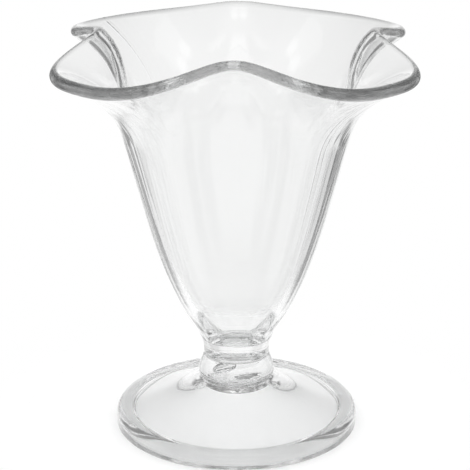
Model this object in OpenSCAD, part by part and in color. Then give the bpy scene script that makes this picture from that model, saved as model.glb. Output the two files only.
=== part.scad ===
// Tulip sundae glass: a lobed bowl, a short stem and a hollow domed foot, welded together.
// The glass stands on the plane z = 0 with its axis on Z. All lengths are millimetres.

/* [Foot] */
// Diameter of the foot
foot_d = 72; // [60:0.5:84]
// Height of the thick edge of the foot
edge_h = 5.2; // [4.6:0.1:7]
// Width of the thick edge of the foot
edge_w = 4.7; // [3.6:0.1:6]
// Rounding on top of the thick edge
edge_round = 2.4; // [1:0.1:3]
// Rounding of the edge where it meets the table
stand_round = 0.5; // [0.3:0.1:1]
// How far the dome starts below the top of the thick edge
edge_step = 0.4; // [0.2:0.1:0.8]
// Rounding under the dome where it meets the thick edge
edge_fillet = 1.8; // [0.8:0.1:2.4]
// Wall of the dome beside the thick edge
foot_wall = 2.4; // [1.8:0.1:3]
// Height of the stem's seat above the table
seat_h = 14.2; // [11:0.1:18]
// Thickness of the foot under the stem's seat
seat_t = 3.6; // [2.8:0.1:5]
// Slope of the dome beside the thick edge
dome_edge_slope = 20; // [10:1:30]
// Slope of the dome beside the seat
dome_seat_slope = 30; // [20:1:40]

/* [Stem] */
// Height of the stem between its two seams
stem_h = 7.6; // [5:0.1:14]
// Largest diameter of the stem
knop_d = 22.5; // [20.5:0.1:26]
// Height of the largest diameter above the seat
knop_h = 1.3; // [1:0.1:3]
// Width of the rounding under the stem
base_round = 2.2; // [1.8:0.1:3.6]
// Lean of the stem's shoulder from upright at the seam with the neck
shoulder_lean = 26; // [10:1:40]
// Diameter of the peg that stands in the foot
peg_d = 12; // [8:0.5:13]
// Length of the peg that stands in the foot
peg_l = 1.6; // [1:0.1:2.2]
// Diameter of the spigot that stands in the bowl's neck
spigot_d = 10; // [6:0.5:14]
// Length of the spigot that stands in the bowl's neck
spigot_l = 2.2; // [1.2:0.1:3]

/* [Welds] */
// Radial room round the peg and round the spigot
bond_gap = 0.1; // [0.05:0.01:0.2]
// Room past the end of the peg and of the spigot
end_gap = 0.2; // [0.1:0.05:0.5]
// Thickness of the weld where it starts under the stem
weld_t = 0.4; // [0.3:0.05:0.8]
// How far the lower weld stays inside the stem's largest diameter
weld_inset = 0.5; // [0.3:0.05:0.8]
// How far the lower weld bulges out of its joint
weld_bulge = 0.35; // [0.2:0.05:0.6]
// Depth of the crease round the seam at the neck
crease = 0.6; // [0.4:0.05:1]
// How far the upper weld lies below the neck's surface
crease_open = 0.25; // [0.1:0.05:0.35]

/* [Bowl] */
// Diameter of the neck at its seam with the stem
neck_d = 19.4; // [17:0.1:20]
// Thickness of the glass under the bowl's inside
floor_t = 4.5; // [3.6:0.1:7]
// Diameter of the bowl's inside at its floor
floor_d = 12; // [8:0.5:13]
// Rounding between the bowl's floor and its wall
floor_round = 1; // [0.5:0.1:2]
// Lean of the bowl's inside from upright just above its floor
floor_lean = 26; // [0:1:35]
// Wall of the bowl
wall = 3.4; // [2:0.1:4]
// Height of the cup, where the bowl starts to swell, above the neck's seam
cup_h = 17.5; // [14:0.1:24]
// Diameter across the lobes at the cup
cup_d = 35; // [32:0.1:42]
// Lean of the lobes from upright at the cup
cup_lean = 26; // [15:1:38]
// Height of the throat, where the lobes start to flare, above the neck's seam
throat_h = 67.7; // [60:0.1:76]
// Diameter across the lobes at the throat
throat_d = 68.5; // [62:0.1:80]
// Lean of the lobes from upright at the throat
throat_lean = 16; // [5:1:25]
// Height of the lobes' outer edge above the neck's seam
lip_h = 88.7; // [82:0.1:102]
// Diameter across the lobes' outer edges
lip_d = 115.9; // [106:0.1:126]
// Lean of the lobes from upright at their edge
lip_lean = 69; // [50:1:75]

/* [Notches] */
// Number of lobes, and of notches between them
notch_count = 4; // [3:1:6]
// Depth of the notches at the cup
notch_cup_depth = 0.4; // [0:0.1:3]
// Depth of the notches at the throat
notch_throat_depth = 1.9; // [0.5:0.1:8]
// Depth of the notches at the bowl's edge
notch_lip_depth = 18.3; // [8:0.1:22]
// Height of the notches' edge above the lobes' edge
notch_rise = 5.9; // [0:0.1:10]
// Lean of the notches from upright at the cup
notch_cup_lean = 26.5; // [15:0.5:38]
// Lean of the notches from upright at the throat
notch_throat_lean = 16.5; // [5:0.5:25]
// Lean of the notches from upright at the edge
notch_lip_lean = 48; // [30:1:65]
// Narrowness of the notches seen from above
notch_narrow = 1.6; // [1:0.05:3]
// Narrowness of the peaks where the edge rises at the notches
peak_narrow = 1.6; // [1:0.1:4]

/* [Hidden] */

// Colours of the clear glass and of the weld in its joints
glass_colour = [0.86, 0.90, 0.91, 0.45];
weld_colour = [0.70, 0.75, 0.77, 0.6];

// Facets of the turned pieces, and steps along their curves
round_fn = 96;
curve_steps = 12;

// Facets round each lobe, and rings along each stretch of the bowl
lobe_facets = 20;
cup_rings = 8;
throat_rings = 8;
lip_rings = 10;
edge_rings = 5;
well_rings = 5;
floor_rings = 3;

// Small steps that measure the direction of the bowl's wall
curve_step = 0.001;
turn_step = 0.1;

// Turns of the rounded corners, in degrees
half_turn = 180;
quarter_turn = half_turn / 2;

// How far a cut runs past the face that it opens
cut = 1;

// Foot: radii of the thick edge, and the height at which the dome starts inside it
foot_r = foot_d / 2;
edge_in_r = foot_r - edge_w;
dome_h = edge_h - edge_step;

// Stem: radii and heights shared with the foot and the bowl
neck_r = neck_d / 2;
knop_r = knop_d / 2;
base_r = knop_r - base_round;
weld_r = knop_r - weld_inset;
seat_r = weld_r + weld_inset / 2;
waist_h = seat_h + stem_h;
weld_turn = asin((weld_r - weld_bulge - base_r) / base_round);

// Bowl: the outline along a lobe and along a notch, as [radius, height, lean]
lobe_knots = [
    [neck_r, crease, 0],
    [cup_d / 2, cup_h, cup_lean],
    [throat_d / 2, throat_h, throat_lean],
    [lip_d / 2, lip_h, lip_lean]
];
notch_knots = [
    [neck_r, crease, 0],
    [cup_d / 2 - notch_cup_depth, cup_h, notch_cup_lean],
    [throat_d / 2 - notch_throat_depth, throat_h, notch_throat_lean],
    [lip_d / 2 - notch_lip_depth, lip_h + notch_rise, notch_lip_lean]
];
facets = lobe_facets * notch_count;

// Places of the edge and of the cup along the outline, counted in knots
lip_at = len(lobe_knots) - 1;
cup_at = lip_at - 2;

// Point on a smooth curve between two points with given directions, u from 0 to 1
function smooth(p0, d0, p1, d1, u) =
    let (reach = norm(p1 - p0))
    (2 * u * u * u - 3 * u * u + 1) * p0 + (u * u * u - 2 * u * u + u) * reach * d0
    + (3 * u * u - 2 * u * u * u) * p1 + (u * u * u - u * u) * reach * d1;

function unit(v) = v / norm(v);

// Direction with a given lean from upright, as [radius, height]
function leaning(angle) = [sin(angle), cos(angle)];

// Point on the outline through a list of knots, s counts knots
function outline(knots, s) =
    let (i = max(0, min(floor(s), len(knots) - 2)), k0 = knots[i], k1 = knots[i + 1])
    smooth([k0[0], k0[1]], leaning(k0[2]), [k1[0], k1[1]], leaning(k1[2]), s - i);

// How much of a notch there is at an angle: 1 in a notch, 0 on a lobe
function notch_share(a) = (1 + cos(notch_count * a)) / 2;

function around(r, a, z) = [r * sin(a), -r * cos(a), z];

// Outside of the bowl at outline place s and angle a, with a notch at the front
function outside(s, a) =
    let (
        lobe = outline(lobe_knots, s),
        notch = outline(notch_knots, s),
        across = pow(notch_share(a), notch_narrow),
        up = pow(notch_share(a), peak_narrow)
    )
    around(lobe[0] + (notch[0] - lobe[0]) * across, a, lobe[1] + (notch[1] - lobe[1]) * up);

// Direction up the wall, and direction straight out of it
function up_wall(s, a) = unit(outside(s + curve_step, a) - outside(s - curve_step, a));
function out_of_wall(s, a) =
    unit(cross(outside(s, a + turn_step) - outside(s, a - turn_step), up_wall(s, a)));

function inside(s, a) = outside(s, a) - wall * out_of_wall(s, a);

// Rounded edge of the bowl, turn from 0 outside to 180 inside
function lip(turn, a) =
    let (out = out_of_wall(lip_at, a))
    outside(lip_at, a) + wall / 2 * ((cos(turn) - 1) * out + sin(turn) * up_wall(lip_at, a));

// Rounding of the floor, turn from 0 at the floor to floor_turn at the wall
floor_turn = quarter_turn - floor_lean;
function floor_edge(turn, a) =
    around(floor_d / 2 - floor_round * (1 - sin(turn)), a, floor_t + floor_round * (1 - cos(turn)));

// Inside of the bowl below the cup, u from 0 at the floor's rounding to 1 at the cup
function well(u, a) =
    let (
        start = floor_edge(floor_turn, a),
        rise = leaning(floor_lean)
    )
    smooth(start, around(rise[0], a, rise[1]), inside(cup_at, a), up_wall(cup_at, a), u);

angles = [for (j = [0 : facets - 1]) 360 * j / facets];

// Rings of the bowl's skin, from the seam up the outside, over the edge and down the inside
bowl_rings = concat(
    [[for (a = angles) around(neck_r - crease, a, 0)]],
    [for (i = [0 : cup_rings - 1]) [for (a = angles) outside(i / cup_rings, a)]],
    [for (i = [0 : throat_rings - 1]) [for (a = angles) outside(1 + i / throat_rings, a)]],
    [for (i = [0 : lip_rings - 1]) [for (a = angles) outside(2 + i / lip_rings, a)]],
    [for (i = [0 : edge_rings]) [for (a = angles) lip(half_turn * i / edge_rings, a)]],
    [for (i = [lip_rings - 1 : -1 : 0]) [for (a = angles) inside(2 + i / lip_rings, a)]],
    [for (i = [throat_rings - 1 : -1 : 0]) [for (a = angles) inside(1 + i / throat_rings, a)]],
    [for (i = [well_rings - 1 : -1 : 0]) [for (a = angles) well(i / well_rings, a)]],
    [for (i = [floor_rings - 1 : -1 : 0]) [for (a = angles) floor_edge(floor_turn * i / floor_rings, a)]]
);

// Closed skin through rings of equal length, with a flat cap on the first and last ring
module skin(rings) {
    n = len(rings[0]);
    last = (len(rings) - 1) * n;
    foot_cap = len(rings) * n;
    points = concat(
        [for (ring = rings) each ring],
        [[0, 0, rings[0][0][2]], [0, 0, rings[len(rings) - 1][0][2]]]
    );
    sides = [for (k = [0 : n : last - n]) for (j = [0 : n - 1])
        let (next = (j + 1) % n)
        each [[k + j, k + n + j, k + n + next], [k + j, k + n + next, k + next]]];
    caps = [for (j = [0 : n - 1])
        let (next = (j + 1) % n)
        each [[foot_cap, j, next], [foot_cap + 1, last + next, last + j]]];
    polyhedron(points = points, faces = concat(sides, caps), convexity = 8);
}

// Under side of the stem's rounding, turn from 0 at the base to 90 at the largest diameter
function stem_base(turn) =
    [base_r + base_round * sin(turn), weld_t + (knop_h - weld_t) * (1 - cos(turn))];

module bowl() {
    color(glass_colour)
    translate([0, 0, waist_h])
    difference() {
        skin(bowl_rings);
        translate([0, 0, -cut])
        cylinder(d = spigot_d + 2 * bond_gap, h = cut + spigot_l + end_gap, $fn = round_fn);
    }
}

// Thin weld that fills the bottom of the crease at the seam between bowl and stem
module neck_weld() {
    color(weld_colour)
    translate([0, 0, waist_h])
    rotate_extrude($fn = round_fn)
    polygon([
        [neck_r - crease, 0],
        [neck_r - crease_open, -(crease - crease_open)],
        [neck_r - crease_open, crease - crease_open]
    ]);
}

module stem() {
    knop = [knop_r, knop_h];
    neck = [neck_r, stem_h - crease];
    shoulder = leaning(-shoulder_lean);
    flank = [for (i = [0 : curve_steps]) smooth(knop, [0, 1], neck, shoulder, i / curve_steps)];
    color(glass_colour)
    translate([0, 0, seat_h])
    rotate_extrude($fn = round_fn)
    polygon(concat(
        [[0, -peg_l], [peg_d / 2, -peg_l], [peg_d / 2, 0], [base_r, 0]],
        [for (i = [0 : curve_steps - 1]) stem_base(quarter_turn * i / curve_steps)],
        flank,
        [[neck_r - crease, stem_h], [spigot_d / 2, stem_h], [spigot_d / 2, stem_h + spigot_l]],
        [[0, stem_h + spigot_l]]
    ));
}

// Weld bead between the foot's seat and the rounding under the stem
module foot_weld() {
    top = stem_base(weld_turn);
    steps = curve_steps / 2;
    color(weld_colour)
    translate([0, 0, seat_h])
    rotate_extrude($fn = round_fn)
    polygon(concat(
        [[base_r, 0]],
        [for (i = [0 : steps - 1])
            smooth([top[0], 0], [1, 0], top, [-1, 0], i / steps)],
        [for (i = [steps : -1 : 0]) stem_base(weld_turn * i / steps)]
    ));
}

// Rounded corner of the foot's edge, around a middle with a given radius
function corner(mid, r, turn) = mid + r * [cos(turn), sin(turn)];

module foot() {
    stand_mid = [foot_r - stand_round, stand_round];
    top_mid = [foot_r - edge_round, edge_h - edge_round];
    crest = [foot_r - edge_round, edge_h];
    rise = [-cos(dome_edge_slope), sin(dome_edge_slope)];
    fall = [-cos(dome_edge_slope), -sin(dome_edge_slope)];
    start = [edge_in_r, dome_h];
    start_under = [edge_in_r, dome_h - foot_wall / cos(dome_edge_slope)];
    under_wall = [edge_in_r, max(start_under[1] - edge_fillet, stand_round / 2)];
    under_dome = start_under + edge_fillet * rise;
    seat = [seat_r, seat_h];
    roof = [seat_r - seat_t * sin(dome_seat_slope), seat_h - seat_t];
    end = [-cos(dome_seat_slope), sin(dome_seat_slope)];
    bore_r = peg_d / 2 + bond_gap;
    bore_h = seat_h - peg_l - end_gap;
    color(glass_colour)
    rotate_extrude($fn = round_fn)
    polygon(concat(
        [[edge_in_r, 0]],
        [for (i = [0 : curve_steps]) corner(stand_mid, stand_round, quarter_turn * (i / curve_steps - 1))],
        [for (i = [0 : curve_steps]) corner(top_mid, edge_round, quarter_turn * i / curve_steps)],
        [for (i = [1 : curve_steps - 1]) smooth(crest, [-1, 0], start, fall, i / curve_steps)],
        [for (i = [0 : curve_steps]) smooth(start, rise, seat, end, i / curve_steps)],
        [[bore_r, seat_h], [bore_r, bore_h], [0, bore_h], [0, roof[1]]],
        [for (i = [curve_steps : -1 : 0]) smooth(under_dome, rise, roof, end, i / curve_steps)],
        [for (i = [curve_steps - 1 : -1 : 0]) smooth(under_wall, [0, 1], under_dome, rise, i / curve_steps)]
    ));
}

bowl();
neck_weld();
stem();
foot_weld();
foot();
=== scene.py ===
# %% [markdown]
# A clear dessert glass is mostly made of what stands behind it.
# This lesson sets up a light tent first, and then builds the bowl, the stem, the foot
# and the two welds as closed skins of glass that bend and mirror it.
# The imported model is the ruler, so it is loaded and measured before anything is drawn.

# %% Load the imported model
import math

import bpy
import numpy as np
from mathutils import Matrix, Vector, noise


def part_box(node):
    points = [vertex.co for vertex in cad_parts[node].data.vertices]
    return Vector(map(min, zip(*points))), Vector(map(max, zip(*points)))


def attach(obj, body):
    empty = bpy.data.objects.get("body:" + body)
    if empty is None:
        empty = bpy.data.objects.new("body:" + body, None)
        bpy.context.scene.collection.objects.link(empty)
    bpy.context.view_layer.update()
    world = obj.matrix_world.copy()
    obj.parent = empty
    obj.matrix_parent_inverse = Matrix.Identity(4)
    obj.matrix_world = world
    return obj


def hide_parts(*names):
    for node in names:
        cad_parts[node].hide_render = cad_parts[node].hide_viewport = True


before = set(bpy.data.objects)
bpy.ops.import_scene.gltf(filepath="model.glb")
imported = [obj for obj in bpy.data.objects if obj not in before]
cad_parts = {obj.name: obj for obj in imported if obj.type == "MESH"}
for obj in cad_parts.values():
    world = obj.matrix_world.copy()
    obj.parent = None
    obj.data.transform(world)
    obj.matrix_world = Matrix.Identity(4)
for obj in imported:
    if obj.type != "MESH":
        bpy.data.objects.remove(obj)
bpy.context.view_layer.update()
print("packed nodes:", ", ".join(sorted(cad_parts)))

# %% [markdown]
# On the real glass three mouldings meet at two level seams, so two heights place everything:
# the seat on top of the foot, and the waist where the bowl's neck stands on the stem.
# They could be typed in again, but a measured box can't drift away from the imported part.
# Sizes in this lesson are millimetres and degrees, and MM turns them into Blender's metres.

# %% Measure the seams
MM = 0.001


def box_mm(node):
    """Lowest and highest corner of a node, in millimetres."""
    low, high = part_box(node)
    return np.array(low) / MM, np.array(high) / MM


foot_r = box_mm("foot")[1][0]
seat_h = box_mm("foot")[1][2]
knop_r = box_mm("stem")[1][0]
waist_h = box_mm("bowl")[0][2]
neck_weld_r = box_mm("neck_weld")[1][0]
print(f"foot {2 * foot_r:.1f} mm wide, seat at {seat_h:.1f} mm, waist at {waist_h:.1f} mm")

# %% [markdown]
# The photograph was taken from about a hand's width above the rim,
# with a long lens a short arm's length away.
# A camera could be nudged by eye, but this one was solved from the outline of the glass,
# so its height, distance, tilt and turn are plain numbers here.

# %% Place the camera
CAMERA_AWAY = 465.8
CAMERA_HIGH = 221.3
CAMERA_TILT = 19.305
CAMERA_TURN = 0.99
CAMERA_NEAR = 10.0
LEVEL_VIEW = 90.0
PHOTO_SIDE = 470
FOCAL_PIXELS = 1693.9
CENTRE_PIXEL = 236.48
SENSOR = 36.0

scene = bpy.context.scene
turn = math.radians(CAMERA_TURN)
lens = bpy.data.cameras.new("Camera")
lens.sensor_width = SENSOR
lens.lens = SENSOR * FOCAL_PIXELS / PHOTO_SIDE
lens.shift_x = (PHOTO_SIDE / 2 - CENTRE_PIXEL) / PHOTO_SIDE
lens.clip_start = CAMERA_NEAR * MM
camera = bpy.data.objects.new("Camera", lens)
camera.location = Vector((math.sin(turn), -math.cos(turn), 0)) * CAMERA_AWAY * MM
camera.location.z = CAMERA_HIGH * MM
camera.rotation_euler = (math.radians(LEVEL_VIEW - CAMERA_TILT), 0, turn)
scene.collection.objects.link(camera)
scene.camera = camera
scene.view_settings.view_transform = "Standard"
print(f"lens {lens.lens:.1f} mm, camera {CAMERA_HIGH:.0f} mm up")

# %% [markdown]
# The world, the paper and the glass are all trees of small nodes.
# Each node could be wired by hand, but the same few kinds come back again and again:
# sums of numbers, sums of vectors, and ramps that turn one range into another.
# Four short helpers make them, so that a formula reads on one line.

# %% Helpers for nodes
def wire(tree, kind, operation, *sources):
    """A Math or Vector Math node in a tree, fed by sockets or plain values."""
    node = tree.nodes.new(kind)
    node.operation = operation
    for socket, value in zip(node.inputs, sources):
        if isinstance(value, bpy.types.NodeSocket):
            tree.links.new(value, socket)
        else:
            socket.default_value = value
    return node


def number(tree, operation, *sources):
    """The number that comes out of a Math node."""
    return wire(tree, "ShaderNodeMath", operation, *sources).outputs["Value"]


def vector(tree, operation, *sources):
    """What comes out of a Vector Math node: a vector, or a length or product."""
    gives = "Value" if operation in ("LENGTH", "DOT_PRODUCT") else "Vector"
    return wire(tree, "ShaderNodeVectorMath", operation, *sources).outputs[gives]


def ramp(tree, value, low, high, start=0.0, end=1.0, soft=False):
    """A number that goes from start to end while value goes from low to high."""
    node = tree.nodes.new("ShaderNodeMapRange")
    node.interpolation_type = "SMOOTHSTEP" if soft else "LINEAR"
    node.inputs["From Min"].default_value = low
    node.inputs["From Max"].default_value = high
    node.inputs["To Min"].default_value = start
    node.inputs["To Max"].default_value = end
    tree.links.new(value, node.inputs["Value"])
    return node.outputs["Result"]


print("node helpers ready:", ", ".join(f.__name__ for f in (wire, number, vector, ramp)))

# %% [markdown]
# Clear glass shows its edges only where it bends the eye away from white.
# Boards could be stood round the glass, but a world that changes with the direction is a tent
# with no corners to catch: four wide panels, a narrow strip between each two, and grey gaps.
# A view straight through meets a panel or a pale gap, as it would in a bright room.
# A view that bounces inside a wall before it leaves meets the gaps at their full grey.
# A steep look down meets a white table, so the gaps fade out below.
# The sums turn a direction into a wave that peaks four times in a turn, once at each panel.

# %% Hang the panels
PANEL_WHITE = 1.0
GAP_GREY = 0.22
GAP_PALE = 0.82
PANEL_EDGE = (-0.15, 0.45)
STRIP_EDGE = (-0.84, -0.975)
STRIP_SHARE = 0.85
TABLE_EDGE = (-0.48, -0.65)
SIDE_TILT = 0.12
SPECK = 1e-6

world = bpy.data.worlds.new("Light_tent")
scene.world = world
world.use_nodes = True
tent = world.node_tree
ray = tent.nodes.new("ShaderNodeLightPath").outputs
looking = tent.nodes.new("ShaderNodeTexCoord").outputs["Generated"]
axes = tent.nodes.new("ShaderNodeSeparateXYZ")
tent.links.new(looking, axes.inputs["Vector"])
to_right, to_back, to_sky = axes.outputs


def between(low, high, share):
    """low where share is 0, high where share is 1."""
    rest = number(tent, "SUBTRACT", 1.0, share)
    return number(tent, "MULTIPLY_ADD", high, share, number(tent, "MULTIPLY", low, rest))


x2 = number(tent, "MULTIPLY", to_right, to_right)
y2 = number(tent, "MULTIPLY", to_back, to_back)
level2 = number(tent, "ADD", number(tent, "ADD", x2, y2), SPECK)
two_waves = number(tent, "DIVIDE", number(tent, "SUBTRACT", y2, x2), level2)
four_waves = number(
    tent, "MULTIPLY_ADD", number(tent, "MULTIPLY", two_waves, two_waves), 2.0, -1.0)
panel = ramp(tent, four_waves, *PANEL_EDGE, soft=True)
strip = ramp(tent, four_waves, *STRIP_EDGE, end=STRIP_SHARE, soft=True)
table = ramp(tent, to_sky, *TABLE_EDGE, soft=True)
white = number(tent, "MAXIMUM", number(tent, "MAXIMUM", panel, strip), table)
bounced = number(tent, "MINIMUM", ray["Glossy Depth"], 1.0)
walls = between(between(GAP_PALE, GAP_GREY, bounced), PANEL_WHITE, white)
walls = number(tent, "SUBTRACT", walls, number(tent, "MULTIPLY", to_right, SIDE_TILT))
print(f"tent panels {PANEL_WHITE}, gaps {GAP_GREY} to {GAP_PALE}")

# %% [markdown]
# The upper inside of the real bowl carries soft white patches, the mirror images of lights.
# Lamps could draw them, but they would also throw shadows on the paper.
# So the tent has a dark ceiling with three glows in it, placed by degrees round from the camera,
# degrees up, brightness, and the half widths of the bright core and of the soft edge.

# %% Close the ceiling
CEILING_GREY = 0.26
CEILING_EDGE = (0.2, 0.5)
GLOWS = [
    dict(swing=-24, lift=57, bright=0.6, core=3, edge=14),
    dict(swing=24, lift=57, bright=0.6, core=3, edge=14),
    dict(swing=0, lift=38, bright=0.3, core=15, edge=60),
]


def toward(swing, lift):
    """Direction from the glass, in degrees round from the camera and degrees up."""
    swing, lift = math.radians(swing) + turn, math.radians(lift)
    return math.sin(swing) * math.cos(lift), -math.cos(swing) * math.cos(lift), math.sin(lift)


in_the_glass = between(walls, CEILING_GREY, ramp(tent, to_sky, *CEILING_EDGE, soft=True))
for glow in GLOWS:
    close_by = vector(tent, "DOT_PRODUCT", looking, toward(glow["swing"], glow["lift"]))
    edge_to_core = [math.cos(math.radians(glow[part])) for part in ("edge", "core")]
    patch = ramp(tent, close_by, *edge_to_core, end=glow["bright"], soft=True)
    in_the_glass = number(tent, "ADD", in_the_glass, patch)
print(f"ceiling {CEILING_GREY} with {len(GLOWS)} glows")

# %% [markdown]
# The photograph's background is plain white, and the tent must not show in it.
# A white wall could stand behind the glass, but it would hide the tent from it.
# The Light Path node tells who is asking: the eye sees white, glass and gloss see the tent,
# and the paper gets an even light that keeps it pale.
# Light also runs round inside a thick edge, so many more bounces are allowed than usual:
# with too few, a black line runs under the lip.

# %% Choose what each ray sees
TENT_ON_FLOOR = 1.25
EYE_WHITE = 1.0
GLASS_BOUNCES = 128

by_glass = number(tent, "MAXIMUM", ray["Is Glossy Ray"], ray["Is Transmission Ray"])
off_paper = number(tent, "MINIMUM", ray["Diffuse Depth"], 1.0)
only_glass = number(tent, "MULTIPLY", by_glass, number(tent, "SUBTRACT", 1.0, off_paper))
to_rays = between(TENT_ON_FLOOR, in_the_glass, only_glass)
background = tent.nodes["Background"]
background.inputs["Color"].default_value = (1.0, 1.0, 1.0, 1.0)
tent.links.new(between(to_rays, EYE_WHITE, ray["Is Camera Ray"]), background.inputs["Strength"])
scene.cycles.max_bounces = GLASS_BOUNCES
scene.cycles.transmission_bounces = GLASS_BOUNCES
scene.cycles.glossy_bounces = GLASS_BOUNCES
scene.cycles.transparent_max_bounces = GLASS_BOUNCES
print(f"light on the paper {TENT_ON_FLOOR}, up to {GLASS_BOUNCES} bounces in the glass")

# %% [markdown]
# The glass stands on pale matt paper that runs out of sight.
# One endless plane would also fill every view through the bowl with white,
# so the paper is a small disc that thins out to nothing a short way from the foot.
# It is painted a little paler under the foot: painted light that makes up for the light that the
# glass takes away.

# %% Lay the paper
PAPER_ENDS = 78.0
PAPER_DOWN = 0.05
PAPER_SIDES = 96


def full_turn(sides):
    """Angles spread evenly over one turn."""
    return np.linspace(0, 2 * math.pi, sides, endpoint=False)


mesh = bpy.data.meshes.new("Paper")
rim = [(PAPER_ENDS * math.cos(t) * MM, PAPER_ENDS * math.sin(t) * MM, -PAPER_DOWN * MM)
       for t in full_turn(PAPER_SIDES)]
mesh.from_pydata(rim, [], [range(len(rim))])
paper = bpy.data.objects.new("Paper", mesh)
scene.collection.objects.link(paper)
print(f"paper disc of {2 * PAPER_ENDS:.0f} mm")

# %% Colour the paper
PAPER_PAINTED_LIGHT = (0.97, 0.97, 0.97, 1.0)
PAPER_PALE = (0.87, 0.87, 0.87, 1.0)
PAPER_STEP = 5.0
PAPER_SOLID = 40.0
PAPER_ROUGH = 0.9

matt = bpy.data.materials.new("Matt_paper")
matt.use_nodes = True
tree = matt.node_tree
sheet = tree.nodes["Principled BSDF"]
sheet.inputs["Roughness"].default_value = PAPER_ROUGH
sheet.inputs["Specular IOR Level"].default_value = 0.0
place = tree.nodes.new("ShaderNodeTexCoord").outputs["Object"]
far = vector(tree, "LENGTH", place)
# Painted light: the paper's colour is paler inside the foot's ring than outside it.
painted_light_mix = tree.nodes.new("ShaderNodeMix")
painted_light_mix.data_type = "RGBA"
painted_light_mix.inputs["A"].default_value = PAPER_PAINTED_LIGHT
painted_light_mix.inputs["B"].default_value = PAPER_PALE
outside_foot = ramp(tree, far, (foot_r - PAPER_STEP) * MM, foot_r * MM)
tree.links.new(outside_foot, painted_light_mix.inputs["Factor"])
tree.links.new(painted_light_mix.outputs["Result"], sheet.inputs["Base Color"])
nothing = tree.nodes.new("ShaderNodeBsdfTransparent")
fade = tree.nodes.new("ShaderNodeMixShader")
thin_out = ramp(tree, far, PAPER_SOLID * MM, PAPER_ENDS * MM, soft=True)
for source, socket in zip((thin_out, sheet.outputs[0], nothing.outputs[0]), fade.inputs):
    tree.links.new(source, socket)
tree.links.new(fade.outputs[0], tree.nodes["Material Output"].inputs["Surface"])
mesh.materials.append(matt)
print(f"paper solid to {PAPER_SOLID:.0f} mm, gone at {PAPER_ENDS:.0f} mm")

# %% [markdown]
# The tent gives most of the light, and one big soft box above adds the faint shadow under the foot.
# A small lamp would give that shadow a hard edge, so the box is wide and dim.

# %% Hang the lamp
LAMP_PLACE = (0.0, -200.0, 1100.0)
LAMP_SIDE = 900.0
LAMP_WATTS = 0.8

light = bpy.data.lights.new("Softbox", "AREA")
light.shape = "SQUARE"
light.size = LAMP_SIDE * MM
light.energy = LAMP_WATTS
lamp = bpy.data.objects.new("Softbox", light)
lamp.location = Vector(LAMP_PLACE) * MM
lamp.rotation_euler = Vector(LAMP_PLACE).to_track_quat("Z", "Y").to_euler()
scene.collection.objects.link(lamp)
print(f"soft box {LAMP_SIDE:.0f} mm wide, {LAMP_WATTS} W")

# %% [markdown]
# Glass that was pressed in a mould is never quite flat: its skin has long shallow waves.
# They could be sculpted into each mesh, but one shared node group gives every piece
# the same marks at its own place, as a height for a Bump node.
# A noise scale counts ripples per metre, so 70 gives waves of about 14 mm.
# The cells after this one add more marks to that height before the group is closed.

# %% Start the group for pressed waves
WAVE_SCALES = (70.0, 260.0)
WAVE_DETAIL = 1.0


def new_group(name, inputs, output, kind):
    """A shader group with sockets of one kind: the group, what goes in, and where it comes out."""
    group = bpy.data.node_groups.new(name, "ShaderNodeTree")
    for socket in inputs:
        group.interface.new_socket(socket, in_out="INPUT", socket_type=kind)
    group.interface.new_socket(output, in_out="OUTPUT", socket_type=kind)
    way_in = group.nodes.new("NodeGroupInput")
    way_out = group.nodes.new("NodeGroupOutput")
    return group, way_in.outputs, way_out.inputs[output]


waves, waves_in, waves_out = new_group("Pressed_waves", ("Depth",), "Height", "NodeSocketFloat")
spot = waves.nodes.new("ShaderNodeTexCoord").outputs["Object"]


def ripple(over, scale=1.0):
    """Noise over a vector, from 0 to 1."""
    node = waves.nodes.new("ShaderNodeTexNoise")
    node.inputs["Scale"].default_value = scale
    node.inputs["Detail"].default_value = WAVE_DETAIL
    waves.links.new(over, node.inputs["Vector"])
    return node.outputs["Fac"]


long_waves, short_waves = [ripple(spot, scale) for scale in WAVE_SCALES]
short_share = WAVE_SCALES[0] / WAVE_SCALES[1]
height = number(waves, "MULTIPLY_ADD", short_waves, short_share, long_waves)
print("waves of", " and ".join(f"{1 / (scale * MM):.0f} mm" for scale in WAVE_SCALES))

# %% [markdown]
# High up, the wall has faint upright streaks where the glass flowed past the plunger.
# Low down it has faint level rings instead, where the hot glass stopped and started.
# Both are noise that is stretched, one along the height and one on the level,
# and they take over from each other between two heights, so no picture has to be wrapped round.

# %% Add streaks and rings
STREAKS_ROUND = 16.0
STREAKS_UP = 14.0
STREAKS_HIGH = 3.0
STREAKS_START = 40.0
STREAKS_FULL = 75.0
RINGS_ROUND = 40.0
RINGS_UP = 700.0
RINGS_HIGH = 1.2

parts = waves.nodes.new("ShaderNodeSeparateXYZ")
waves.links.new(spot, parts.inputs["Vector"])


def with_height(low, high, start, end):
    """A number that goes from start to end between two heights in millimetres."""
    return ramp(waves, parts.outputs["Z"], low * MM, high * MM, start, end)


level = vector(waves, "MULTIPLY", spot, (1.0, 1.0, 0.0))
round_axis = vector(waves, "NORMALIZE", level)
spread = vector(waves, "MULTIPLY", round_axis, (STREAKS_ROUND, STREAKS_ROUND, STREAKS_ROUND))
drawn_up = vector(waves, "MULTIPLY", spot, (0.0, 0.0, STREAKS_UP))
streaks = ripple(vector(waves, "ADD", spread, drawn_up))
high_up = with_height(STREAKS_START, STREAKS_FULL, 0.0, STREAKS_HIGH)
height = number(waves, "MULTIPLY_ADD", streaks, high_up, height)
rings_round = ripple(vector(waves, "MULTIPLY", spot, (RINGS_ROUND, RINGS_ROUND, RINGS_UP)))
low_down = with_height(STREAKS_START, STREAKS_FULL, RINGS_HIGH, 0.0)
height = number(waves, "MULTIPLY_ADD", rings_round, low_down, height)
print(f"streaks from {STREAKS_START:.0f} mm up, rings below {STREAKS_FULL:.0f} mm")

# %% [markdown]
# The knop was joined on while it was hot, and its skin chilled in small wrinkles.
# They could be dented into the mesh, but that would move the outline and the seams as well,
# so they are short noise in the same height, which only changes the shading.
# They fade out just outside the knop and below the waist,
# which keeps them off the dome of the foot and off the bowl.

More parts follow.
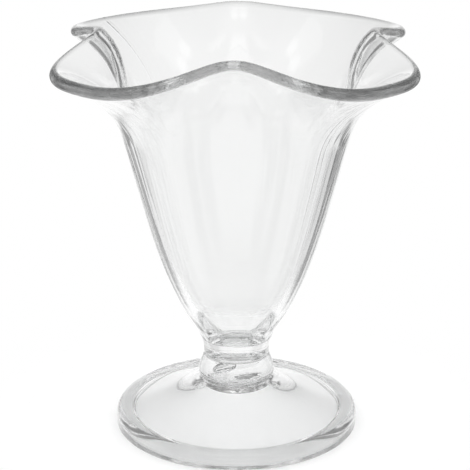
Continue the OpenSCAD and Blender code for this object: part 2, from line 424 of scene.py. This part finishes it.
# %% Add chill marks
CHILL_SCALE = 480.0
CHILL_HIGH = 6.0
CHILL_FROM = 11.2
CHILL_ENDS = 12.2
CHILL_STOPS = (4.0, 2.0)

near_stem = ramp(waves, vector(waves, "LENGTH", level), CHILL_ENDS * MM, CHILL_FROM * MM)
below_waist = with_height(*(waist_h - gap for gap in CHILL_STOPS), CHILL_HIGH, 0.0)
chill = number(waves, "MULTIPLY", near_stem, below_waist)
height = number(waves, "MULTIPLY_ADD", ripple(spot, CHILL_SCALE), chill, height)
print(f"chill marks within {CHILL_ENDS:.1f} mm of the axis")

# %% [markdown]
# A fine upright line shows where the two halves of the mould meet.
# A strip of mesh could be raised there, but a narrow ridge in the same height is enough:
# it follows one angle round the axis and grows towards the rim.
# The group's own input then sets how deep all the marks are on each piece.

# %% Add the parting line
PARTING_ANGLE = 225.0
PARTING_WIDE = 0.012
PARTING_HIGH = 3.5
PARTING_STARTS = 60.0
PARTING_FULL = 100.0

swing = math.radians(PARTING_ANGLE)
across = vector(waves, "DOT_PRODUCT", round_axis, (math.cos(swing), math.sin(swing), 0.0))
ridge = ramp(waves, number(waves, "ABSOLUTE", across), PARTING_WIDE, 0.0, soft=True)
parting = with_height(PARTING_STARTS, PARTING_FULL, 0.0, PARTING_HIGH)
height = number(waves, "MULTIPLY_ADD", ridge, parting, height)
waves.links.new(number(waves, "MULTIPLY", height, waves_in["Depth"]), waves_out)
print(f"group Pressed_waves ready, {len(waves.nodes)} nodes")

# %% [markdown]
# A glass that has been held and wiped keeps a faint film with softer patches.
# A picture of smears could do it, but noise that is smeared and cut off low
# leaves most of the skin polished and only a few cloudy spots, from the group below.

# %% Group for handling marks
MARK_SCALE = 45.0
MARK_DETAIL = 4.0
MARK_SMEAR = 0.6
MARK_CUT = (0.55, 0.8)

marks, marks_in, marks_out = new_group(
    "Handling_marks", ("Cloudy",), "Roughness", "NodeSocketFloat")
smear = marks.nodes.new("ShaderNodeTexNoise")
smear.inputs["Scale"].default_value = MARK_SCALE
smear.inputs["Detail"].default_value = MARK_DETAIL
smear.inputs["Distortion"].default_value = MARK_SMEAR
skin_place = marks.nodes.new("ShaderNodeTexCoord").outputs["Object"]
marks.links.new(skin_place, smear.inputs["Vector"])
cloud = ramp(marks, smear.outputs["Fac"], *MARK_CUT)
marks.links.new(number(marks, "MULTIPLY", cloud, marks_in["Cloudy"]), marks_out)
print(f"group Handling_marks ready, {len(marks.nodes)} nodes")

# %% [markdown]
# Thick glass looks a little darker than thin glass, because light runs a long way inside it.
# Most of the tint from this group is painted shade, though: on the lip, the stem, the lower weld,
# one bubble and the foot's ring it stands in for the dark that the glass bends in from round about.
# A volume shader could soak light up, but it would have to match across every fused face,
# so each mesh carries a number called edge, and this group turns it into painted shade.

# %% Group for painted shade
shade_group, shade_group_in, shade_group_out = new_group("Thick_edge", ("Thin", "Thick"), "Color", "NodeSocketColor")
shade_amount = shade_group.nodes.new("ShaderNodeAttribute")
shade_amount.attribute_name = "edge"
tint = shade_group.nodes.new("ShaderNodeMix")
tint.data_type = "RGBA"
shade_group.links.new(shade_amount.outputs["Fac"], tint.inputs["Factor"])
shade_group.links.new(shade_group_in["Thin"], tint.inputs["A"])
shade_group.links.new(shade_group_in["Thick"], tint.inputs["B"])
shade_group.links.new(tint.outputs["Result"], shade_group_out)
print(f"group Thick_edge ready, {len(shade_group.nodes)} nodes")

# %% [markdown]
# Clear glass is one Principled shader with full transmission.
# A Glass shader could do the same, but the Principled one takes the same inputs as the paper.
# Every pass through a wall takes a little light, so the colour stays just under white.
# Lamps would be blocked by it, so their shadow rays meet a pale Transparent shader instead.

# %% Mix the glass
GLASS_IOR = 1.5
CLOUDY = 0.035
SHADOW_TINT = (0.96, 0.965, 0.965, 1.0)


def place_group(tree, group, **values):
    """A group in a material, with its own values; returns what comes out."""
    node = tree.nodes.new("ShaderNodeGroup")
    node.node_tree = group
    for name, value in values.items():
        node.inputs[name].default_value = value
    return node.outputs[0]


def glass_material(name, thin, shaded_tint, wave_depth):
    """Clear glass with the shared painted shade tint, waves and marks; wave_depth is in
    millimetres.
    """
    material = bpy.data.materials.new(name)
    material.use_nodes = True
    tree = material.node_tree
    links = tree.links
    glass = tree.nodes["Principled BSDF"]
    glass.inputs["IOR"].default_value = GLASS_IOR
    glass.inputs["Transmission Weight"].default_value = 1.0
    colour = place_group(tree, shade_group, Thin=(*thin, 1.0), Thick=(*shaded_tint, 1.0))
    links.new(colour, glass.inputs["Base Color"])
    links.new(place_group(tree, marks, Cloudy=CLOUDY), glass.inputs["Roughness"])
    bump = tree.nodes.new("ShaderNodeBump")
    bump.inputs["Distance"].default_value = MM
    links.new(place_group(tree, waves, Depth=wave_depth), bump.inputs["Height"])
    links.new(bump.outputs["Normal"], glass.inputs["Normal"])
    shadow = tree.nodes.new("ShaderNodeLightPath").outputs["Is Shadow Ray"]
    clear = tree.nodes.new("ShaderNodeBsdfTransparent")
    clear.inputs["Color"].default_value = SHADOW_TINT
    choose = tree.nodes.new("ShaderNodeMixShader")
    for source, socket in zip((shadow, glass.outputs[0], clear.outputs[0]), choose.inputs):
        links.new(source, socket)
    links.new(choose.outputs[0], tree.nodes["Material Output"].inputs["Surface"])
    print(f"{name}: waves {wave_depth} mm deep")
    return material


print(f"glass of index {GLASS_IOR}, roughness up to {CLOUDY}")

# %% [markdown]
# Where two pieces are fused there is no surface at all on the real glass.
# The faces could be deleted, but then the pieces would be open shells,
# so the faces stay and one Transparent shader lets every ray pass.

# %% Clear the fused seams
GLASS = 0
FUSED = 1

fused = bpy.data.materials.new("Fused_seam")
fused.use_nodes = True
seam_tree = fused.node_tree
seam_tree.nodes.remove(seam_tree.nodes["Principled BSDF"])
open_seam = seam_tree.nodes.new("ShaderNodeBsdfTransparent")
seam_tree.links.new(open_seam.outputs[0], seam_tree.nodes["Material Output"].inputs["Surface"])
print(f"slot {GLASS} is glass, slot {FUSED} is a fused seam")

# %% [markdown]
# Every piece here is a stack of rings with a skin stretched over them.
# A Screw modifier could turn the round ones, but the bowl isn't round,
# so one small function stretches the skin for all of them and closes the ends with caps.

# %% Stretch a skin over rings
def stack(rings, caps=(None, None), loop=False, fused_bands=(), edge=None):
    """A skin over rings of points: its points, faces, slots and how much painted shade each point
    gets.
    """
    sides = len(rings[0])
    j = np.arange(sides)
    n = (j + 1) % sides
    faces, slots = [], []
    for k in range(len(rings) if loop else len(rings) - 1):
        low, high = k * sides, (k + 1) % len(rings) * sides
        faces += np.stack([low + j, low + n, high + n, high + j], 1).tolist()
        slots += [FUSED if k in fused_bands else GLASS] * sides
    for cap, points in zip(caps, (j[::-1], j + (len(rings) - 1) * sides)):
        if cap is not None:
            faces.append(points.tolist())
            slots.append(cap)
    edge = [0.0] * len(rings) if edge is None else edge
    shade = np.concatenate([np.broadcast_to(e, sides) for e in edge])
    return np.concatenate(rings), faces, slots, shade


print("skin helper ready:", stack.__name__)

# %% [markdown]
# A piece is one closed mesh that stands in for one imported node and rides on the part.
# Each stack could be its own object, but a bubble belongs to the glass round it,
# so the stacks of a piece are joined point by point before the mesh is made.

# %% Make a piece from skins
SHARP_ANGLE = 40.0


def make_piece(name, stacks, glass, node, slot):
    """One closed mesh from stacks in millimetres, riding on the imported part."""
    points, faces, slots, edge = [], [], [], []
    for stack_points, stack_faces, stack_slots, stack_edge in stacks:
        first = sum(len(p) for p in points)
        faces += [[first + i for i in face] for face in stack_faces]
        points.append(stack_points)
        slots += stack_slots
        edge.append(stack_edge)
    skin = bpy.data.meshes.new(name)
    skin.from_pydata((np.concatenate(points) * MM).tolist(), [], faces)
    skin.materials.append(glass)
    if FUSED in slots:
        skin.materials.append(fused)
    skin.polygons.foreach_set("material_index", slots)
    skin.polygons.foreach_set("use_smooth", [True] * len(faces))
    skin.set_sharp_from_angle(angle=math.radians(SHARP_ANGLE))
    shade = skin.attributes.new("edge", "FLOAT", "POINT")
    shade.data.foreach_set("value", np.concatenate(edge))
    skin.update()
    piece = bpy.data.objects.new(name, skin)
    scene.collection.objects.link(piece)
    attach(piece, "root")
    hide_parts(node)
    print(f"{name}: {len(faces)} faces")
    return piece


print(f"piece helper ready: {make_piece.__name__}, folds over {SHARP_ANGLE:.0f} degrees stay sharp")

# %% [markdown]
# The outlines of a moulded glass run smoothly from one width to the next.
# A Bezier curve could be drawn by hand, but a short formula through named points and leans
# gives the same curve in every run, and it can be measured anywhere.

# %% Helpers for curves
def around(r, a, z):
    """Points at radius r, angle a from the front, height z."""
    r, a, z = np.broadcast_arrays(*(np.asarray(v, float) for v in (r, a, z)))
    return np.stack([r * np.sin(a), -r * np.cos(a), z], -1)


def unit(v):
    """The same direction with a length of 1."""
    return v / np.linalg.norm(v, axis=-1, keepdims=True)


def leaning(angle):
    """Direction with a lean from upright in degrees, as radius and height."""
    return np.array([math.sin(math.radians(angle)), math.cos(math.radians(angle))])


def smooth(p0, d0, p1, d1, u):
    """Point between p0 and p1 on a curve that leaves along d0 and arrives along d1."""
    reach = np.linalg.norm(p1 - p0, axis=-1, keepdims=True)
    return (
        (2 * u**3 - 3 * u**2 + 1) * p0 + (u**3 - 2 * u**2 + u) * reach * d0
        + (3 * u**2 - 2 * u**3) * p1 + (u**3 - u**2) * reach * d1
    )


print("curve helpers ready:", ", ".join(f.__name__ for f in (around, unit, leaning, smooth)))

# %% [markdown]
# The bowl is a tulip with four lobes: one outline runs up a lobe and one up a notch,
# and a wave round the axis goes from one to the other and back.
# Subdivided boxes could be pushed into that shape, but two outlines keep every height measurable.
# Each outline is a few knots of radius, height over the waist, and lean.
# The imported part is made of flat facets, so the drawn lip is set in by a hair to fit its box.

# %% Shape the bowl
CREASE = 0.6
CREASE_OPEN = 0.25
NECK_R = neck_weld_r + CREASE_OPEN
CUP_H = 17.5
THROAT_H = 67.7
LIP_R, LIP_H = 57.95, 88.7
PEAK_R, PEAK_H = 39.65, 94.6
SET_IN = 0.07
LOBE = np.array([
    (NECK_R, CREASE, 0), (17.5, CUP_H, 26), (34.25, THROAT_H, 16), (LIP_R - SET_IN, LIP_H, 69)])
NOTCH = np.array([
    (NECK_R, CREASE, 0), (17.1, CUP_H, 26.5), (32.35, THROAT_H, 16.5),
    (PEAK_R, PEAK_H - SET_IN, 48)])
NOTCHES = 4
NOTCH_NARROW = 1.6
PEAK_NARROW = 1.6


def outline(knots, s):
    """Point on the smooth outline through knots of radius, height and lean."""
    i = np.clip(np.floor(s).astype(int), 0, len(knots) - 2)
    d = np.array([leaning(k[2]) for k in knots])
    return smooth(knots[i, :2], d[i], knots[i + 1, :2], d[i + 1], (s - i)[..., None])


def in_notch(a):
    """1 in the middle of a notch, 0 in the middle of a lobe."""
    return (1 + np.cos(NOTCHES * a)) / 2


def outside(s, a):
    """Outer skin of the bowl: s counts knots, a is the angle from the front notch."""
    s, a = np.broadcast_arrays(np.asarray(s, float), np.asarray(a, float))
    lobe, notch = outline(LOBE, s), outline(NOTCH, s)
    share = in_notch(a)
    r = lobe[..., 0] + (notch[..., 0] - lobe[..., 0]) * share**NOTCH_NARROW
    z = lobe[..., 1] + (notch[..., 1] - lobe[..., 1]) * share**PEAK_NARROW
    return around(r, a, z + waist_h)


print(f"lobes {2 * LOBE[-1][0]:.0f} mm across")

# %% [markdown]
# The wall is taken to be equally thick all the way up, also in the folds of the notches.
# A Solidify modifier could thicken the outside, but the lip and the floor need exact places,
# so the inside is the outside moved square to the wall, found from two small steps.

# %% Give the wall its thickness
WALL = 3.4
SMALL_STEP = 1e-3


def up_wall(s, a):
    """Direction up the outer skin."""
    return unit(outside(s + SMALL_STEP, a) - outside(s - SMALL_STEP, a))


def out_of_wall(s, a):
    """Direction square to the outer skin, away from the axis."""
    sideways = outside(s, a + SMALL_STEP) - outside(s, a - SMALL_STEP)
    return unit(np.cross(sideways, up_wall(s, a)))


def inside(s, a):
    """Inner skin of the bowl, one wall away from the outer one."""
    return outside(s, a) - WALL * out_of_wall(s, a)


print(f"wall {WALL} mm")

# %% [markdown]
# The bowl's skin starts at the fused seam, climbs the outside and rolls over the rounded lip.
# The rings lie closer together where the curve is tight, because glass shows every facet.
# On the real glass the lip is the darkest line, deepest in the lobes, with a light streak in it.
# Here both are painted: the edge number paints shade on the lip, most in the lobes,
# and leaves a painted highlight as a lighter band along its middle.
# A darker material could be given to those faces, but the edge number fades softly instead.

# %% Climb the outside and roll the lip
BOWL_SIDES = 360
WALL_RINGS = 151
LIP_RINGS = 33
SEAM_DEPTH = 0.1
LIP_AT = len(LOBE) - 1
NOTCH_LIP_SHADE = 0.5
LIP_HIGH = 1.15
LIP_PAINTED_HIGHLIGHT = 0.35
LIP_HIGHLIGHT_AT = 0.5
LIP_HIGHLIGHT_WIDE = 0.09

a = full_turn(BOWL_SIDES)
seam_r = NECK_R - SEAM_DEPTH
rings = [around(NECK_R - CREASE, a, waist_h), around(seam_r, a, waist_h + CREASE - SEAM_DEPTH)]
rings += [outside(s, a) for s in np.linspace(0, LIP_AT, WALL_RINGS)]
edge = [0.0] * len(rings)
lip, outwards, upwards = outside(LIP_AT, a), out_of_wall(LIP_AT, a), up_wall(LIP_AT, a)
in_lobe = 1 - (1 - NOTCH_LIP_SHADE) * in_notch(a)
for t in np.linspace(0, math.pi, LIP_RINGS)[1:-1]:
    rings.append(lip + WALL / 2 * ((math.cos(t) - 1) * outwards + math.sin(t) * upwards))
    over = t / math.pi
    # Painted highlight: a lighter band along the middle of the lip's painted shade.
    painted_highlight = LIP_PAINTED_HIGHLIGHT * math.exp(-((over - LIP_HIGHLIGHT_AT) / LIP_HIGHLIGHT_WIDE) ** 2)
    edge.append(math.sin(math.pi * over**LIP_HIGH) * (1 - painted_highlight) * in_lobe)
print(f"lip from {lip[:, 2].min():.1f} to {lip[:, 2].max():.1f} mm high")

# %% [markdown]
# Inside, the skin comes down the wall to the cup, then leans in to a small flat floor
# with a rounded corner, all above the solid neck.
# The floor could be a plain lid, but the corner's bright ring shows in the photograph,
# so it is turned as its own small arc.

# %% Come down the inside
INSIDE_RINGS = 101
WELL_RINGS = 31
CORNER_RINGS = 9
FLOOR_RINGS = 6
CUP_AT = 1
FLOOR_T = 4.5
FLOOR_R = 6.0
FLOOR_ROUND = 1.0
FLOOR_LEAN = 26.0
CAP_R = 0.4
WAVE_DEPTH = 0.02
CLEAR = (0.942, 0.945, 0.944)
# The bowl's shaded colour is near black, for the painted shade on the lip.
LIP_PAINTED_SHADE = (0.06, 0.063, 0.063)

floor_h = waist_h + FLOOR_T
floor_turn = math.pi / 2 - math.radians(FLOOR_LEAN)


def floor_edge(t):
    """Rounding between the floor and the wall, t is the turn from level."""
    r = FLOOR_R - FLOOR_ROUND * (1 - math.sin(t))
    return around(r, a, floor_h + FLOOR_ROUND * (1 - math.cos(t)))


up_well = around(leaning(FLOOR_LEAN)[0], a, leaning(FLOOR_LEAN)[1])
cup, up_cup = inside(CUP_AT, a), up_wall(CUP_AT, a)
rings += [inside(s, a) for s in np.linspace(LIP_AT, CUP_AT, INSIDE_RINGS)]
rings += [smooth(floor_edge(floor_turn), up_well, cup, up_cup, u)
          for u in np.linspace(1, 0, WELL_RINGS)[1:]]
rings += [floor_edge(t) for t in np.linspace(floor_turn, 0, CORNER_RINGS)[1:]]
rings += [around(r, a, floor_h) for r in np.linspace(FLOOR_R - FLOOR_ROUND, CAP_R, FLOOR_RINGS)[1:]]
edge += [0.0] * (len(rings) - len(edge))
bowl = make_piece("Bowl", [stack(rings, caps=(FUSED, GLASS), fused_bands=(0,), edge=edge)],
                  glass_material("Bowl_glass", CLEAR, LIP_PAINTED_SHADE, WAVE_DEPTH), "bowl", "bowl_glass")

# %% [markdown]
# The stem is a short solid knop: rounded under, widest low down, then drawn in to the neck.
# A stretched sphere would come near, but the seams need exact widths at both ends,
# so a profile is turned round the axis. The ends that grew into the foot and the neck are fused.

# %% Turn the stem
TURN_SIDES = 240
BASE_RINGS = 25
SHOULDER_RINGS = 41
KNOP_H = 1.3
BASE_ROUND = 2.2
SHOULDER_LEAN = 26.0
WELD_T = 0.4
UPRIGHT = np.array([0, 1.0])

base_r = knop_r - BASE_ROUND
b = full_turn(TURN_SIDES)


def stem_base(t):
    """Underside of the knop, t from 0 at its base to a quarter turn at its widest."""
    rise = (KNOP_H - WELD_T) * (1 - math.cos(t))
    return np.array([base_r + BASE_ROUND * math.sin(t), seat_h + WELD_T + rise])


def turned(profile):
    """Rings round the axis from points of radius and height."""
    return [around(r, b, z) for r, z in profile]


knop = np.array([knop_r, seat_h + KNOP_H])
neck = np.array([NECK_R, waist_h - CREASE])
stem_profile = [np.array([base_r, seat_h])]
stem_profile += [stem_base(t) for t in np.linspace(0, math.pi / 2, BASE_RINGS)[:-1]]
stem_profile += [smooth(knop, UPRIGHT, neck, leaning(-SHOULDER_LEAN), u)
                 for u in np.linspace(0, 1, SHOULDER_RINGS)]
stem_profile += [np.array([seam_r, waist_h - CREASE + SEAM_DEPTH]),
                 np.array([NECK_R - CREASE, waist_h])]
stem_rings = turned(stem_profile)
print(f"knop {2 * knop_r:.1f} mm wide, {len(stem_rings)} rings")

# %% [markdown]
# The lower part of the knop touched the foot while both were soft, so it is uneven.
# It could be dented with a Displace modifier, but that would also lift the base off its seat.
# Here smooth noise pushes the lower rings in and up, the lowest one only in,
# and fades out over the last few of them. The edge number paints shade on the stem,
# darkest at the knop and fading upwards with the height.

# %% Wrinkle the knop
WRINKLE = 0.16
WRINKLE_SCALE = 1.3
WRINKLED_RINGS = 32
WRINKLE_FADE = 6
LIFT_SHIFT = (9.0, 0, 0)
STEM_TOP = 0.3
STEM_SHADE = 6.0
IN_LEVEL = np.array([1, 1, 0])
UP = np.array([0, 0, 1.0])


def unevenness(points, scale, shift=(0, 0, 0)):
    """Smooth noise at each point, from -1 to 1."""
    return np.array([noise.noise(Vector(p) * scale + Vector(shift)) for p in points])


for k, ring in enumerate(stem_rings):
    depth = WRINKLE * min(1.0, max(0.0, (WRINKLED_RINGS - k) / WRINKLE_FADE))
    push = 1 + unevenness(ring, WRINKLE_SCALE)
    lift = (1 + unevenness(ring, WRINKLE_SCALE, LIFT_SHIFT)) * (k > 0)
    inwards = -unit(ring * IN_LEVEL)
    stem_rings[k] = ring + depth * push[:, None] * inwards + depth * lift[:, None] * UP
# Painted shade: the stem's tint is darkest at the knop and lighter towards the neck.
shade = [min(1.0, max(STEM_TOP, 1 - (z - seat_h - KNOP_H) / STEM_SHADE)) for r, z in stem_profile]
print(f"{WRINKLED_RINGS} rings wrinkled, up to {2 * WRINKLE:.2f} mm deep")

# %% [markdown]
# An oval bubble of air was trapped in the stem, and a flat one lies lower down.
# A bubble could be cut out with a Boolean, but it is only a skin that faces inwards,
# so it is stacked from rings like everything else and joined to the stem's mesh.

# %% Trap the bubbles
BUBBLE_SIDES = 48
BUBBLE_RINGS = 25
BUBBLE_POLE = 0.06
BUBBLE_SCALE = 2.2
STEM_CLEAR = (0.97, 0.974, 0.974)
STEM_PAINTED_SHADE = (0.46, 0.465, 0.465)
OVAL_BUBBLE = dict(
    place=(-3.1, -6.4, seat_h + 4.7), size=(3.4, 1.6, 1.6), tilt=-18, rough=0.06, edge=0.0)
# The flat bubble's edge number of 0.3 paints shade on it, so it shows as a grey patch.
FLAT_BUBBLE = dict(
    place=(2.6, -5.2, seat_h + 1.7), size=(2.4, 1.6, 0.22), tilt=-8, rough=0.7, edge=0.3)


def bubble(place, size, tilt, rough, edge):
    """A closed skin that faces inwards, so that it holds air: middle, half sizes and tilt."""
    c = full_turn(BUBBLE_SIDES)
    spin = np.array(Matrix.Rotation(math.radians(tilt), 3, "Y"))
    rings = []
    for t in np.linspace(BUBBLE_POLE, math.pi - BUBBLE_POLE, BUBBLE_RINGS):
        ring = around(math.sin(t), c, math.cos(t))
        swell = 1 + rough * unevenness(ring, BUBBLE_SCALE, place)
        rings.append(ring * swell[:, None] * np.array(size) @ spin.T + np.array(place))
    return stack(rings, caps=(GLASS, GLASS), edge=[edge] * len(rings))


stem_skin = stack(stem_rings, caps=(FUSED, FUSED), fused_bands=(len(stem_rings) - 2,), edge=shade)
stem = make_piece("Stem", [stem_skin, bubble(**OVAL_BUBBLE), bubble(**FLAT_BUBBLE)],
                  glass_material("Stem_glass", STEM_CLEAR, STEM_PAINTED_SHADE, WAVE_DEPTH),
                  "stem", "stem_glass")

# %% [markdown]
# The foot is a thin dome inside a thick upright edge that stands on the table.
# A plain disc would read as solid from above; the hollow under the dome is what makes
# the edge show as a clear band with white inside it.
# First come the places where its curves meet, all from a few thicknesses and slopes.

# %% Measure the foot
EDGE_H = 5.2
EDGE_W = 4.7
EDGE_ROUND = 2.4
EDGE_STEP = 0.4
EDGE_FILLET = 1.8
FOOT_WALL = 2.4
SEAT_T = 3.6
DOME_EDGE_SLOPE = 20.0
DOME_SEAT_SLOPE = 30.0
WELD_INSET = 0.5
WELD_BULGE = 0.35
QUARTER = 90.0

edge_in_r = foot_r - EDGE_W
dome_h = EDGE_H - EDGE_STEP
seat_r = knop_r - WELD_INSET / 2
edge_slope = math.radians(DOME_EDGE_SLOPE)
seat_slope = math.radians(DOME_SEAT_SLOPE)
up_in = leaning(DOME_EDGE_SLOPE - QUARTER)
to_seat = leaning(DOME_SEAT_SLOPE - QUARTER)
down_in = up_in * np.array([1, -1])
crest = np.array([foot_r - EDGE_ROUND, EDGE_H])
dome_start = np.array([edge_in_r, dome_h])
inner_corner = np.array([edge_in_r, dome_h - FOOT_WALL / math.cos(edge_slope)])
under_wall = inner_corner - np.array([0, EDGE_FILLET])
under_dome = inner_corner + EDGE_FILLET * up_in
seat = np.array([seat_r, seat_h])
roof = np.array([seat_r - SEAT_T * math.sin(seat_slope), seat_h - SEAT_T])
weld_turn = math.asin((knop_r - WELD_INSET - WELD_BULGE - base_r) / BASE_ROUND)
weld_top = stem_base(weld_turn)
print(f"dome from {dome_h:.1f} to {seat_h:.1f} mm high, roof of the hollow at {roof[1]:.1f} mm")

# %% [markdown]
# One profile then runs from the roof of the hollow down its side, under the standing ring,
# up the edge and over the dome to the seat.
# A Bevel modifier could round the corners, but arcs in the profile put the rings where they show.
# Two rings sit tight beside the roof's corner, so that its shading stays crisp.

# %% Turn the foot
STAND_ROUND = 0.5
ROOF_RINGS = 8
DOME_RINGS = 61
FILLET_RINGS = 17
STAND_RINGS = 9
EDGE_RINGS = 21
STEP_RINGS = 11
TIGHT = 0.02
TIGHT_SHARE = 0.002
SHADED_NEAR = 0.6
FOOT_WAVE_DEPTH = 0.015
FOOT_CLEAR = (0.988, 0.99, 0.99)
FOOT_PAINTED_SHADE = (0.62, 0.625, 0.625)
OUTWARDS = np.array([1.0, 0])


def corner(mid, r, begin, finish, steps):
    """Arc round a middle, from one angle to another in degrees."""
    turns = np.linspace(math.radians(begin), math.radians(finish), steps)
    return [np.array(mid) + r * np.array([math.cos(t), math.sin(t)]) for t in turns]


profile = [np.array([r, roof[1]]) for r in np.linspace(CAP_R, roof[0] - TIGHT, ROOF_RINGS)]
profile += [smooth(under_dome, up_in, roof, to_seat, u)
            for u in (1, 1 - TIGHT_SHARE, *np.linspace(1, 0, DOME_RINGS)[1:])]
profile += [smooth(under_wall, UPRIGHT, under_dome, up_in, u)
            for u in np.linspace(1, 0, FILLET_RINGS)[1:]]
profile += [np.array([edge_in_r, 0.0])]
profile += corner((foot_r - STAND_ROUND, STAND_ROUND), STAND_ROUND, -QUARTER, 0, STAND_RINGS)
profile += corner((foot_r - EDGE_ROUND, EDGE_H - EDGE_ROUND), EDGE_ROUND, 0, QUARTER, EDGE_RINGS)
profile += [smooth(crest, -OUTWARDS, dome_start, down_in, u)
            for u in np.linspace(0, 1, STEP_RINGS)[1:-1]]
profile += [smooth(dome_start, up_in, seat, to_seat, u) for u in np.linspace(0, 1, DOME_RINGS)]
profile += [np.array([weld_top[0], seat_h]), np.array([base_r, seat_h])]
# Painted shade: the inner wall of the standing ring is tinted darker, so the band seen through the
# ring is greyer, as if the paper beside it lay in shadow.
edge = [float(abs(r - edge_in_r) < SHADED_NEAR and z < inner_corner[1]) for r, z in profile]
foot_skin = stack(turned(profile), caps=(GLASS, FUSED), fused_bands=(len(profile) - 2,), edge=edge)
foot = make_piece("Foot", [foot_skin],
                  glass_material("Foot_glass", FOOT_CLEAR, FOOT_PAINTED_SHADE, FOOT_WAVE_DEPTH),
                  "foot", "foot_glass")

# %% [markdown]
# The welds are the glass that ran together at the seams.
# The upper one only fills the crease at the neck with a hollow face, like water in a corner.
# A torus could lie there, but it would cut into both neighbours,
# so a small three-sided section is turned round the axis, and its two hidden faces are fused.

# %% Fill the crease at the neck
SAG = 0.05
CREASE_RINGS = 9

half_crease = CREASE - SEAM_DEPTH
crease_face = [
    np.array([seam_r - SAG * math.sin(t), waist_h + half_crease * (2 * t / math.pi - 1)])
    for t in np.linspace(0, math.pi, CREASE_RINGS)]
neck_rings = turned([np.array([NECK_R - CREASE, waist_h])] + crease_face)
weld_glass = glass_material("Weld_glass", CLEAR, STEM_PAINTED_SHADE, WAVE_DEPTH)
neck_weld_skin = stack(neck_rings, loop=True, fused_bands=(0, len(neck_rings) - 1))
neck_weld = make_piece("Neck_weld", [neck_weld_skin], weld_glass, "neck_weld", "weld_glass")

# %% [markdown]
# The lower weld chilled as it flowed, so it is a wrinkled bead with air caught round it.
# It could share its faces with the stem and the foot, but thin air makes a seam look dark
# and uneven, as in the photograph. So its rings are drawn a little towards the middle
# of the bead, apart from the two that are fused to the seat.

# %% Run the bead on the foot
AIR = 0.04
BEAD_RINGS = 13
BEAD_WRINKLE = 0.6
BEAD_SHADE = 0.8
BEAD_SHIFT = (0, 0, 5.0)

bead_foot = np.array([weld_top[0], seat_h])
front = [smooth(bead_foot, OUTWARDS, weld_top, -OUTWARDS, u) for u in np.linspace(0, 1, BEAD_RINGS)]
back = [stem_base(t) for t in np.linspace(weld_turn, 0, BEAD_RINGS)][1:]
bead = np.array([(base_r, seat_h)] + front + back)
bead_middle = bead.mean(0)
bead_rings = []
for k, (r, z) in enumerate(bead):
    push = 1 + unevenness(around(r, b, z), WRINKLE_SCALE, BEAD_SHIFT)
    shrink = (AIR + WRINKLE * BEAD_WRINKLE * push) * (k > 1)
    inward = unit(bead_middle - np.array([r, z]))
    bead_rings.append(around(r + inward[0] * shrink, b, z + inward[1] * shrink))
# Painted shade: the whole bead is tinted darker through its edge number, on top of the real dark
# that its thin air gives.
bead_shade = [BEAD_SHADE] * len(bead_rings)
foot_weld_skin = stack(bead_rings, loop=True, fused_bands=(0,), edge=bead_shade)
foot_weld = make_piece("Foot_weld", [foot_weld_skin], weld_glass, "foot_weld", "weld_glass")

# %% [markdown]
# Last, the drawn pieces are listed by name.
# The drawn one has to stay inside the imported one, because other parts are placed by that box.

# %% Finish
pieces = (bowl, neck_weld, stem, foot_weld, foot)
print("drawn pieces:", ", ".join(piece.name for piece in pieces))
